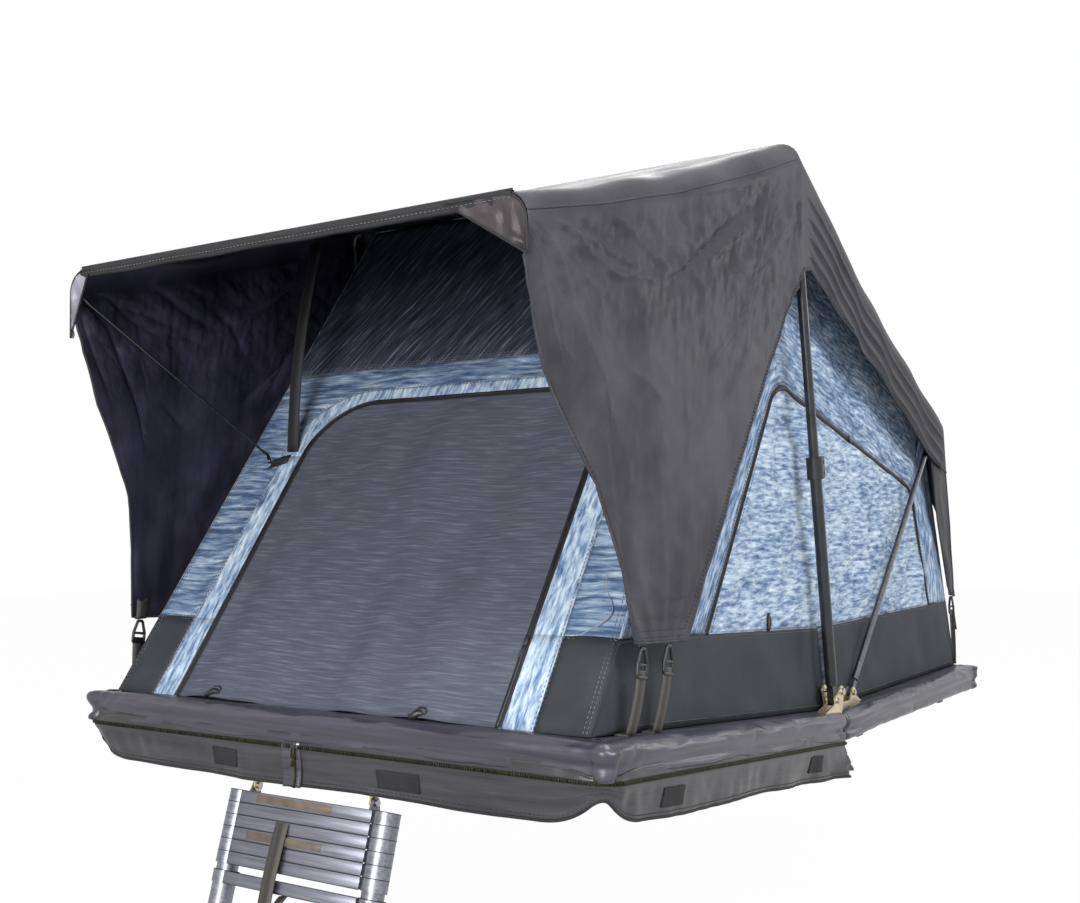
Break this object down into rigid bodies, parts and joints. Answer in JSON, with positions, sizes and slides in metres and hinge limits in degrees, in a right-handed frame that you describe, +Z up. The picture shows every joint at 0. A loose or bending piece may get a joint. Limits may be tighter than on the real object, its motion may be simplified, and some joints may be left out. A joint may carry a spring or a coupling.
{
  "type": "roof top tent",
  "caption": "Open soft fold-out roof top tent: hinged base halves, folding hoops, canvas body with mesh door, rain fly with awning, skirt and telescopic ladder.",
  "frame": {"origin": "middle of the mounting stud pattern, on the underside of the mounting rails", "axes": "+Z up, -Y towards the door, the awning and the ladder, +X to the right seen from the door"},
  "size_m": [1.42, 2.4843, 1.9249],
  "materials": {
    "aluminium": "bare anodised aluminium, satin",
    "board": "thin aluminium skins on a honeycomb core",
    "black_plastic": "moulded nylon, matt black",
    "steel": "zinc-plated steel",
    "zinc_gold": "yellow-passivated zinc on steel",
    "coated_fabric": "coated polyester, dark purple-grey with a soft sheen",
    "mattress_cover": "woven cover over foam",
    "black_tube": "black powder-coated tube",
    "grey_tube": "grey coated tube",
    "canvas": "blue and white space-dyed canvas",
    "dark_band": "charcoal canvas",
    "dark_cloth": "black canvas in the shade of the awning",
    "mesh": "fine dark insect mesh",
    "zip": "black coil zip",
    "fly_cloth": "coated ripstop, charcoal with a faint sheen",
    "webbing": "woven webbing, dark grey-brown",
    "rubber": "moulded rubber"
  },
  "bodies": {
    "mounted_half": {"mounting_rails": "aluminium", "rail_end_caps": "black_plastic", "rail_bolts": "steel", "rail_studs": "steel", "rear_board": "board", "rear_edge_frame": "aluminium", "rear_edge_roll": "coated_fabric", "rear_hinge_leaves": "zinc_gold", "hinge_pins": "zinc_gold", "rear_hoop_bolts": "zinc_gold", "rear_mattress": "mattress_cover", "left_wall": "canvas", "right_wall": "canvas", "left_window": "canvas", "right_window": "canvas", "window_zips": "zip", "rear_wall": "canvas", "canvas_roof": "canvas", "lower_band": "dark_band", "rain_fly": "fly_cloth", "fly_rear_flap": "fly_cloth", "rear_fly_straps": "webbing", "rear_fly_buckles": "black_plastic"},
    "fold_out_half": {"front_board": "board", "front_edge_frame": "aluminium", "front_edge_roll": "coated_fabric", "front_hinge_leaves": "zinc_gold", "main_hoop_bolts": "zinc_gold", "front_mattress": "mattress_cover", "skirt": "coated_fabric", "skirt_zip": "zip", "ladder_brackets": "zinc_gold", "ladder_bolts": "zinc_gold", "front_wall": "canvas", "upper_front_panel": "dark_cloth", "door_mesh": "mesh", "door_zip": "zip", "awning_bar": "black_tube", "awning_rods": "grey_tube", "awning_rod_tabs": "webbing", "front_fly_straps": "webbing", "front_fly_buckles": "black_plastic"},
    "main_hoop": {"main_hoop_legs": "black_tube", "main_hoop_plugs": "black_plastic", "leg_clamps": "black_plastic", "clamp_screws": "steel"},
    "main_bow": {"main_hoop_bow": "black_tube"},
    "rear_hoop": {"rear_hoop": "grey_tube", "rear_hoop_ends": "grey_tube"},
    "ladder_1": {"ladder_section_1": "aluminium"},
    "ladder_2": {"ladder_section_2": "aluminium"},
    "ladder_3": {"ladder_section_3": "aluminium", "ladder_strap": "webbing"},
    "ladder_4": {"ladder_section_4": "aluminium"},
    "ladder_5": {"ladder_section_5": "aluminium"},
    "ladder_6": {"ladder_section_6": "aluminium"},
    "ladder_7": {"ladder_section_7": "aluminium", "ladder_feet": "rubber"}
  },
  "joints": [
    {"name": "fold", "type": "hinge", "parent": "mounted_half", "child": "fold_out_half", "pos_m": [0, -0.58, 0.143], "axis": [-1, 0, 0], "range_deg": [0, 175.3], "deforming": ["left_wall", "right_wall", "left_window", "right_window", "window_zips", "rear_wall", "canvas_roof", "lower_band", "rain_fly", "fly_rear_flap", "rear_fly_straps", "rear_fly_buckles", "front_wall", "upper_front_panel", "door_mesh", "door_zip", "awning_bar", "awning_rods", "awning_rod_tabs", "front_fly_straps", "front_fly_buckles"]},
    {"name": "main_hoop_fold", "type": "hinge", "parent": "fold_out_half", "child": "main_hoop", "pos_m": [0, -0.61162, 0.12453], "axis": [1, 0, 0], "range_deg": [0, 77.9]},
    {"name": "main_hoop_height", "type": "slide", "parent": "main_hoop", "child": "main_bow", "axis": [0, -0.1284, 0.9917], "range_m": [-0.18, 0]},
    {"name": "rear_hoop_fold", "type": "hinge", "parent": "mounted_half", "child": "rear_hoop", "pos_m": [0, -0.42, 0.12], "axis": [-1, 0, 0], "range_deg": [0, 42.3]},
    {"name": "ladder_swing", "type": "hinge", "parent": "fold_out_half", "child": "ladder_1", "pos_m": [0, -1.71983, 0.02099], "axis": [-1, 0, 0], "range_deg": [-100, 10]},
    {"name": "ladder_slide_2", "type": "slide", "parent": "ladder_1", "child": "ladder_2", "axis": [0, -0.309, -0.9511], "range_m": [0, 0.26]},
    {"name": "ladder_slide_3", "type": "slide", "parent": "ladder_2", "child": "ladder_3", "axis": [0, -0.309, -0.9511], "range_m": [0, 0.26]},
    {"name": "ladder_slide_4", "type": "slide", "parent": "ladder_3", "child": "ladder_4", "axis": [0, -0.309, -0.9511], "range_m": [0, 0.26]},
    {"name": "ladder_slide_5", "type": "slide", "parent": "ladder_4", "child": "ladder_5", "axis": [0, -0.309, -0.9511], "range_m": [0, 0.26]},
    {"name": "ladder_slide_6", "type": "slide", "parent": "ladder_5", "child": "ladder_6", "axis": [0, -0.309, -0.9511], "range_m": [0, 0.26]},
    {"name": "ladder_slide_7", "type": "slide", "parent": "ladder_6", "child": "ladder_7", "axis": [0, -0.309, -0.9511], "range_m": [0, 0.26]}
  ],
  "couplings": [
    {"joint": "main_hoop_fold", "follows": "fold", "ratio": 0.4443},
    {"joint": "rear_hoop_fold", "follows": "fold", "ratio": 0.2413}
  ]
}
